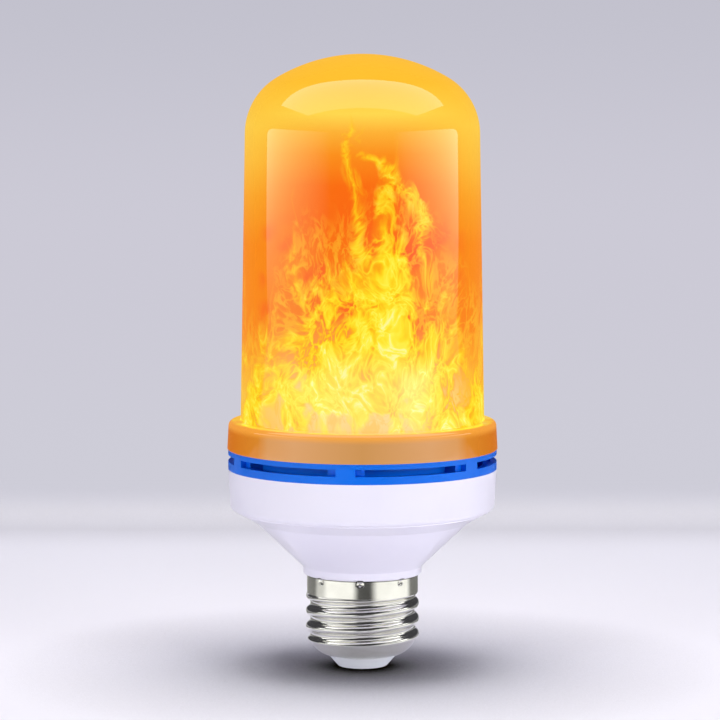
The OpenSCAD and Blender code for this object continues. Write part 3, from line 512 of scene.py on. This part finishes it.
# Inductor: enamelled copper wire wound on a dark ferrite drum, between its two flanges,
# and soldered to the driver board.
low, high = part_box("power_inductor")
winding, tree, shader, place = new_material("wound_copper")
axes = put(tree, "SeparateXYZ", {0: place})
flange_h = 1.2 * mm
wire_d = 0.4 * mm
from_middle = calc(tree, "ABSOLUTE", calc(
    tree, "SUBTRACT", axes.outputs["Z"], (low.z + high.z) / 2))
wound = calc(tree, "LESS_THAN", from_middle, (high.z - low.z) / 2 - flange_h)
turns = calc(tree, "SINE", calc(tree, "MULTIPLY", axes.outputs["Z"], 2 * math.pi / wire_d))
# The turns are painted lighter on their crowns and darker in the grooves between them: painted
# shade, along with the bump.
wire_with_painted_groove_shade = ramp(tree, calc(tree, "MULTIPLY_ADD", turns, 0.5, 0.5), (0, colour(110, 52, 24)),
            (1, colour(196, 112, 62)))
tree.links.new(blended(tree, wound, colour(52, 50, 50), wire_with_painted_groove_shade), shader.inputs["Base Color"])
tree.links.new(calc(tree, "MULTIPLY", wound, 0.8), shader.inputs["Metallic"])
shader.inputs["Roughness"].default_value = 0.4
tree.links.new(put(tree, "Bump", {"Height": calc(tree, "MULTIPLY", turns, wound),
                                  "Strength": 0.4, "Distance": 0.0001}).outputs[0],
               shader.inputs["Normal"])
finish_node("power_inductor", winding)

# Fuse resistor: a green dipped body with colour bands, whose tinned legs are soldered to
# the driver board.
low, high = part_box("fuse_resistor")
dipped, tree, shader, place = new_material("banded_resistor")
share = between(tree, put(tree, "SeparateXYZ", {0: place}).outputs["Z"], low.z, high.z,
                smooth=False)
green, tinned = colour(92, 138, 112), colour(190, 190, 188)
bands = ramp(tree, share, (0, tinned), (0.12, green), (0.3, colour(60, 32, 20)), (0.36, green),
             (0.46, colour(24, 24, 26)), (0.52, green), (0.62, colour(196, 160, 70)), (0.68, green),
             (0.88, tinned))
bands.node.color_ramp.interpolation = "CONSTANT"
tree.links.new(bands, shader.inputs["Base Color"])
glaze = put(tree, "TexNoise", {"Vector": place, "Scale": 500})
tree.links.new(between(tree, glaze.outputs[0], 0, 1, 0.2, 0.4, smooth=False),
               shader.inputs["Roughness"])
finish_node("fuse_resistor", dipped)

# Leads: stranded copper in vinyl, coloured by what they carry, and soldered at both ends:
# from the driver board to the contact, the shell and the control board.
for name, low, high in (("live_lead", colour(190, 26, 24), colour(204, 34, 30)),
                        ("neutral_lead", colour(28, 70, 168), colour(34, 80, 184)),
                        ("lead_positive", colour(190, 26, 24), colour(204, 34, 30)),
                        ("lead_negative", colour(22, 22, 24), colour(32, 32, 34))):
    finish_node(name, moulded(name + "_vinyl", low, high, 0.4))

# Vent ring: blue polycarbonate with a low gloss, its slots formed by the tool's side
# cores. Its spigot centres it in the housing, and the carrier's screws hold it down.
finish_node("vent_ring", moulded("blue_ring", colour(0, 106, 228), colour(3, 113, 236),
                                 0.3, coat=0.05, gloss=0.25))

# Control board: a round green board in the carrier's foot, with the chip that plays the
# flames and a ring of small switches, one for each row of LEDs.
finish_node("control_board", moulded("green_round_board", colour(24, 86, 48),
                                     colour(32, 98, 56), 0.42, coat=0.5))
for name in ("flame_controller", "row_transistors"):
    finish_node(name, black_epoxy)

# LED carrier: a white moulded tube on a foot flange, closed by a pressed in cap and held
# down by three plated steel screws.
white_carrier = moulded("white_carrier", colour(228, 228, 224), colour(236, 236, 232), 0.5)
for name in ("led_carrier", "carrier_cap"):
    finish_node(name, white_carrier)
steel, tree, shader, place = new_material("plated_steel")
shader.inputs["Metallic"].default_value = 1
worn = put(tree, "TexNoise", {"Vector": place, "Scale": 600, "Detail": 3})
tree.links.new(ramp(tree, worn.outputs[0], (0.3, colour(176, 176, 180)),
                    (0.7, colour(196, 196, 200))), shader.inputs["Base Color"])
tree.links.new(between(tree, worn.outputs[0], 0, 1, 0.2, 0.4, smooth=False),
               shader.inputs["Roughness"])
finish_node("carrier_screws", steel)

# LED board: a flexible circuit with a white mask, wrapped round the carrier. Each row
# carries nine white packages, whose windows are filled with yellow phosphor.
finish_node("led_board", moulded("white_mask", colour(226, 227, 222), colour(236, 237, 232), 0.35,
                                 coat=0.3))
rows = sorted(name for name in nodes if name.startswith("led_row_"))
first_low, first_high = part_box(rows[0])
last_low, last_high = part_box(rows[-1])
row_low = (first_low.z + first_high.z) / 2
row_step = ((last_low.z + last_high.z) / 2 - row_low) / (len(rows) - 1)
led_columns = 9
led_face_r = first_high.x
window = 2.1 * mm
package, tree, shader, place = new_material("led_package")
axes = put(tree, "SeparateXYZ", {0: place})
turn = calc(tree, "ARCTAN2", axes.outputs["X"], calc(tree, "MULTIPLY", axes.outputs["Y"], -1))
column = calc(tree, "MULTIPLY", turn, led_columns / (2 * math.pi))
aside = calc(tree, "MULTIPLY", calc(tree, "SUBTRACT", column, calc(tree, "ROUND", column)),
             2 * math.pi / led_columns * led_face_r)
row = calc(tree, "DIVIDE", calc(tree, "SUBTRACT", axes.outputs["Z"], row_low), row_step)
above = calc(tree, "MULTIPLY", calc(tree, "SUBTRACT", row, calc(tree, "ROUND", row)), row_step)
off = calc(tree, "MAXIMUM", calc(tree, "ABSOLUTE", aside), calc(tree, "ABSOLUTE", above))
filled = calc(tree, "LESS_THAN", off, window / 2)
phosphor = ramp(tree, put(tree, "TexNoise", {"Vector": place, "Scale": 2500}).outputs[0],
                (0.3, colour(246, 190, 40)), (0.7, colour(252, 208, 70)))
tree.links.new(blended(tree, filled, colour(240, 240, 236), phosphor),
               shader.inputs["Base Color"])
shader.inputs["Roughness"].default_value = 0.4
for name in rows:
    finish_node(name, package)


# Diffuser: frosted polycarbonate, moulded in one with its domed end and its stepped
# collar, and glossy outside. A bead inside the collar's foot snaps it over the vent ring.
collar_low, collar_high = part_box("diffuser")
draft = math.radians(1)
collar_draft = math.radians(3)
diffuser_wall = 1.6 * mm
collar_z = collar_low.z
collar_r = collar_high.x
collar_h = 6.6 * mm
collar_edge_r = 1.2 * mm
collar_top_w = 2.75 * mm
tube_z = collar_z + collar_h
dome_z = tube_z + 66.4 * mm
shoulder_r = 15 * mm
crown_r = 38.6 * mm
collar_top_r = collar_r - collar_h * math.tan(collar_draft)
tube_r = collar_top_r - collar_top_w - (dome_z - tube_z) * math.tan(draft)
shoulder_x = tube_r - shoulder_r
shoulder_z = dome_z - shoulder_r * math.sin(draft)
crown_z = shoulder_z - math.sqrt((crown_r - shoulder_r) ** 2 - shoulder_x ** 2)
crown_turn = math.degrees(math.atan2(shoulder_z - crown_z, shoulder_x))


def side_at(z, inset):
    """Radius of the tube's outside at a height, less an inset into the wall."""
    return (shoulder_x + (shoulder_r - inset) * math.cos(draft)
            + math.tan(draft) * (shoulder_z + (shoulder_r - inset) * math.sin(draft) - z))


def dome(inset):
    """Points up the shoulder and over the crown to the axis, at an inset into the wall."""
    return (arc(shoulder_x, shoulder_z, shoulder_r - inset, math.degrees(draft), crown_turn)
            + arc(0, crown_z, crown_r - inset, crown_turn + 1.5, 90, 2))


bead_z = collar_z + 1.6 * mm
collar_in_r = collar_top_r - diffuser_wall
plate_z = tube_z - diffuser_wall
edge_z = tube_z - collar_edge_r
edge_x = (collar_r - (edge_z - collar_z) * math.tan(collar_draft)
          - collar_edge_r / math.cos(collar_draft))
foot_x = side_at(tube_z, 0)
diffuser = turned("flame_diffuser", (
    dome(diffuser_wall)[::-1]
    + [(side_at(plate_z, diffuser_wall), plate_z), (collar_in_r, plate_z)]
    + arc(collar_in_r, bead_z, 0.4 * mm, 90, 270, 15)
    + [(collar_in_r, collar_z), (collar_r - 0.15 * mm, collar_z), (collar_r, collar_z + 0.15 * mm)]
    + arc(edge_x, edge_z, collar_edge_r, math.degrees(collar_draft), 90, 6)
    + [(foot_x + 0.25 * mm, tube_z), (foot_x + 0.08 * mm, tube_z + 0.08 * mm),
       (foot_x, tube_z + 0.25 * mm)]
    + [(side_at(z, 0), z) for z in (tube_z + 0.5 * mm, dome_z - 0.5 * mm)]
    + dome(0)), 256)

# The light behind the wall: first the glow from the collar up to the dome, then the flames.
# The glow is painted yellower round the sides than in the middle: a painted brightening of
# the tube's sides, fixed to the front. All sizes here are in millimetres and degrees from
# the front.
flame, tree, shader, place = new_material("flame_diffuser")
here = put(tree, "VectorMath", {0: place, "Scale": 1000}, operation="SCALE").outputs[0]
axes = put(tree, "SeparateXYZ", {0: here})
height = axes.outputs["Z"]
angle = calc(tree, "MULTIPLY", calc(tree, "ARCTAN2", axes.outputs["X"], calc(
    tree, "MULTIPLY", axes.outputs["Y"], -1)), 180 / math.pi)


def noise(tree, vector, size, detail):
    """Noise whose lumps are about that many millimetres across."""
    return put(tree, "TexNoise", {"Vector": vector, "Scale": 1 / size, "Detail": detail})


def swing(tree, value, amount):
    """Takes noise round one half to a push either way, that far from end to end."""
    return calc(tree, "MULTIPLY", calc(tree, "SUBTRACT", value, 0.5), amount)


def stirred(tree, vector, size, amount):
    """Pushes places about by noise, so that a pattern read there curls."""
    push = put(tree, "VectorMath", {0: noise(tree, vector, size, 1).outputs["Color"],
                                    1: (0.5, 0.5, 0.5)}, operation="SUBTRACT").outputs[0]
    return put(tree, "VectorMath", {0: push, 1: (amount, amount, amount), 2: vector},
               operation="MULTIPLY_ADD").outputs[0]


def curve_of(tree, value, low, high, top, points):
    """A smooth curve of a value through (value, result) points, all results from 0 to top."""
    made = put(tree, "FloatCurve", {"Value": between(tree, value, low, high, smooth=False)})
    curve = made.mapping.curves[0]
    for k, (at, result) in enumerate(points):
        spot = ((at - low) / (high - low), result / top)
        if k in (0, len(points) - 1):
            curve.points[0 if k == 0 else -1].location = spot
        else:
            curve.points.new(*spot)
    made.mapping.update()
    return calc(tree, "MULTIPLY", made.outputs[0], top)


def strands(tree, vector, size, thin, detail):
    """Thin bright lines where noise passes its middle value."""
    off = calc(tree, "ABSOLUTE", calc(tree, "SUBTRACT",
                                      noise(tree, vector, size, detail).outputs[0], 0.5))
    return calc(tree, "POWER", calc(tree, "SUBTRACT", 1, calc(tree, "MULTIPLY", off, thin),
                                    clamp=True), 1.6)


glow_low, glow_high = 56, 136
up_tube = between(tree, height, glow_low, glow_high, smooth=False)


def glow(*stops):
    """The glow's tone through (height, colour) stops."""
    return ramp(tree, up_tube, *[((z - glow_low) / (glow_high - glow_low), tone)
                                 for z, tone in stops], smooth=False)


round_side = glow((57, colour(252, 192, 70)), (64, colour(252, 198, 66)),
                  (73, colour(252, 164, 36)), (80, colour(250, 138, 22)),
                  (99, colour(250, 140, 18)), (110, colour(251, 166, 36)),
                  (118, colour(253, 190, 56)), (126, colour(254, 204, 66)),
                  (136, colour(252, 190, 44)))
middle = glow((57, colour(252, 206, 120)), (66, colour(253, 220, 146)),
              (74, colour(252, 170, 84)), (84, colour(249, 128, 38)),
              (96, colour(249, 122, 22)), (106, colour(249, 104, 16)),
              (113, colour(249, 108, 14)), (120, colour(250, 142, 26)),
              (125, colour(252, 176, 52)), (129, colour(254, 214, 78)),
              (136, colour(252, 190, 44)))
# Painted brightening of the sides: the sides take the yellower tone, the middle the deeper one.
aside = calc(tree, "ABSOLUTE", angle)
tone = blended(tree, between(tree, aside, 10, 70), middle, round_side)
red = calc(tree, "MULTIPLY", between(tree, noise(tree, here, 15, 2).outputs[0], 0.5, 0.64),
           calc(tree, "MULTIPLY", between(tree, height, 76, 86), between(tree, height, 108, 98)))
red = calc(tree, "MULTIPLY", red, between(tree, aside, 62, 50))
tone = blended(tree, calc(tree, "MULTIPLY", red, 0.7), tone, colour(250, 88, 34))

# Places and angles pushed about, in which the flames curl
stretched = put(tree, "VectorMath", {0: here, 1: (1, 1, 0.7)}, operation="MULTIPLY").outputs[0]
curled = stirred(tree, stirred(tree, stretched, 16, 13), 6, 7)
wavy = put(tree, "SeparateXYZ", {0: noise(tree, curled, 7, 3).outputs["Color"]})
waved_angle = calc(tree, "ADD", angle, swing(tree, wavy.outputs[0], 22))
waved_height = calc(tree, "ADD", height, swing(tree, wavy.outputs[1], 18))

# How high the dense fire reaches all round, and how high the thin threads above it do
fire_tops = [(-180, 78), (-158, 92), (-134, 76), (-110, 88), (-84, 70), (-66, 70), (-54, 74),
             (-44, 73), (-36, 79), (-28, 87), (-18, 92), (-8, 93), (0, 92), (6, 98), (12, 107),
             (18, 104), (25, 90), (30, 84), (38, 81), (47, 79), (56, 75), (66, 73), (88, 80),
             (112, 92), (138, 76), (158, 86), (180, 78)]
thread_tops = [(-180, 92), (-150, 104), (-120, 92), (-90, 98), (-62, 84), (-50, 90), (-40, 100),
               (-26, 108), (-12, 108), (0, 111), (14, 113), (28, 111), (42, 104), (56, 97),
               (70, 92), (100, 104), (130, 92), (155, 100), (180, 92)]
ragged = swing(tree, noise(tree, curled, 8, 4).outputs[0], 46)
room = calc(tree, "ADD", calc(tree, "SUBTRACT", curve_of(
    tree, angle, -180, 180, 150, fire_tops), height), ragged)
reach = between(tree, room, -4, 9)
depth_in = between(tree, room, 0, 32)
thin_reach = between(tree, calc(tree, "SUBTRACT", curve_of(
    tree, angle, -180, 180, 150, thread_tops), waved_height), -2, 12)

# Tongues that stand above them. Each is a list of (height, angle, half width). A curve
# holds no value under 0, so angles and widths are raised by a set amount in it.
angle_lift, width_lift = 60, 4
tongue_foot, tongue_top = 80, 130
tongues = [
    [(98, 2, 5), (104, -2, 3.4), (110, -4, 2.6), (115, -6, 2.4), (120, -8, 2), (124, -6, 1.4),
     (127, -5, 0.6)],
    [(100, 12, 5), (105, 11, 5), (110, 13, 4.6), (114, 15, 4), (117, 12, 3.6), (119, 7, 3.4),
     (121, 3, 1.5)],
    [(92, 33, 1.4), (98, 33, 2), (103, 31, 3), (107, 28, 4.6), (110, 24, 5), (112, 20, 3)],
    [(80, -21, 1.6), (84, -27, 1.8), (88, -30, 2), (91, -32, 2), (94, -33, 1.2)],
]
tongue = 0.0
for points in tongues:
    points = ([(tongue_foot, points[0][1], -width_lift)] + points
              + [(tongue_top, points[-1][1], -width_lift)])
    centre = curve_of(tree, waved_height, tongue_foot, tongue_top, 120,
                      [(z, turn + angle_lift) for z, turn, half in points])
    width = curve_of(tree, waved_height, tongue_foot, tongue_top, 20,
                     [(z, half + width_lift) for z, turn, half in points])
    gap = calc(tree, "SUBTRACT", calc(tree, "SUBTRACT", width, width_lift), calc(
        tree, "ABSOLUTE", calc(tree, "SUBTRACT", calc(
            tree, "ADD", waved_angle, angle_lift), centre)))
    tongue = calc(tree, "MAXIMUM", tongue, between(tree, gap, -3, 3.5))

# The fire's body and its bright strands, and how hot each place looks
body = between(tree, noise(tree, curled, 8, 6).outputs[0], 0.34, 0.62)
broad = strands(tree, curled, 6, 8, 4)
fine = strands(tree, stirred(tree, curled, 2.5, 3), 2.4, 6, 3)
threads = calc(tree, "ADD", calc(tree, "MULTIPLY", broad, 0.4), calc(tree, "MULTIPLY", fine, 0.6))
heat = calc(tree, "ADD", calc(tree, "MULTIPLY", body, 0.3), calc(tree, "MULTIPLY", threads, 0.56))
heat = calc(tree, "ADD", heat, calc(tree, "MULTIPLY", depth_in, 0.25))
risen = calc(tree, "MULTIPLY", tongue, calc(tree, "MULTIPLY_ADD", threads, 0.5, 0.2))
heat = calc(tree, "MAXIMUM", heat, risen)
fire = ramp(tree, heat, (0.08, colour(250, 132, 14)), (0.26, colour(253, 168, 18)),
            (0.44, colour(254, 206, 26)), (0.64, colour(255, 226, 42)),
            (0.86, colour(255, 240, 76)), (1.0, colour(255, 247, 150)), smooth=False)
thin = calc(tree, "MULTIPLY", thin_reach, between(tree, threads, 0.25, 0.8, 0, 0.62))
tone = blended(tree, thin, tone, colour(254, 190, 46))
cover = calc(tree, "MAXIMUM", calc(tree, "MULTIPLY", reach, between(tree, heat, 0.1, 0.36)),
             calc(tree, "MULTIPLY", tongue, between(tree, threads, 0, 0.5, 0.35, 0.8)))
# The fire opens in patches near the collar, but not at the sides
patchy = between(tree, calc(tree, "ADD", height, swing(
    tree, noise(tree, curled, 5, 2).outputs[0], 40)), 57, 63)
patchy = calc(tree, "MAXIMUM", patchy, calc(tree, "MAXIMUM", between(tree, angle, 20, 40),
                                            between(tree, angle, -48, -60)))
lit = blended(tree, calc(tree, "MULTIPLY", cover, patchy), tone, fire)

# A pale core low in the middle of the fire
off_core = calc(tree, "ABSOLUTE", calc(tree, "SUBTRACT", angle, 6))
core = calc(tree, "MULTIPLY", between(tree, height, 79, 69), between(tree, off_core, 30, 16))
lit = blended(tree, calc(tree, "MULTIPLY", core, 0.14), lit, colour(246, 236, 186))

# The collar is thicker and lies beside the light, so it glows a deeper tone. It is painted
# paler in the middle and deeper orange round the sides, a painted reflection, and brighter
# along its top edge by the tube, a painted highlight.
on_collar = between(tree, height, tube_z / mm + 0.3, tube_z / mm - 0.3)
collar_glow_with_painted_reflection = ramp(tree, between(tree, aside, 0, 90, smooth=False),
                   (0, colour(205, 148, 86)), (0.33, colour(220, 162, 108)),
                   (0.48, colour(220, 156, 94)), (0.55, colour(217, 134, 40)),
                   (0.8, colour(212, 116, 6)), smooth=False)
# Painted highlight along the collar's top edge.
painted_rim_highlight = between(tree, height, tube_z / mm - 2.4, tube_z / mm - 0.6)
collar_glow_with_painted_reflection = blended(tree, calc(tree, "MULTIPLY", painted_rim_highlight, 0.8), collar_glow_with_painted_reflection,
                      colour(252, 168, 62))
glowing = blended(tree, on_collar, lit, collar_glow_with_painted_reflection)
tree.links.new(glowing, shader.inputs["Emission Color"])
tree.links.new(blended(tree, 0.88, glowing, (0, 0, 0, 1)), shader.inputs["Base Color"])
shader.inputs["Emission Strength"].default_value = 0.9
shader.inputs["Roughness"].default_value = 0.04
shader.inputs["Specular IOR Level"].default_value = 0.6
diffuser.data.materials.append(flame)
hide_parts("diffuser")
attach(diffuser, "root")
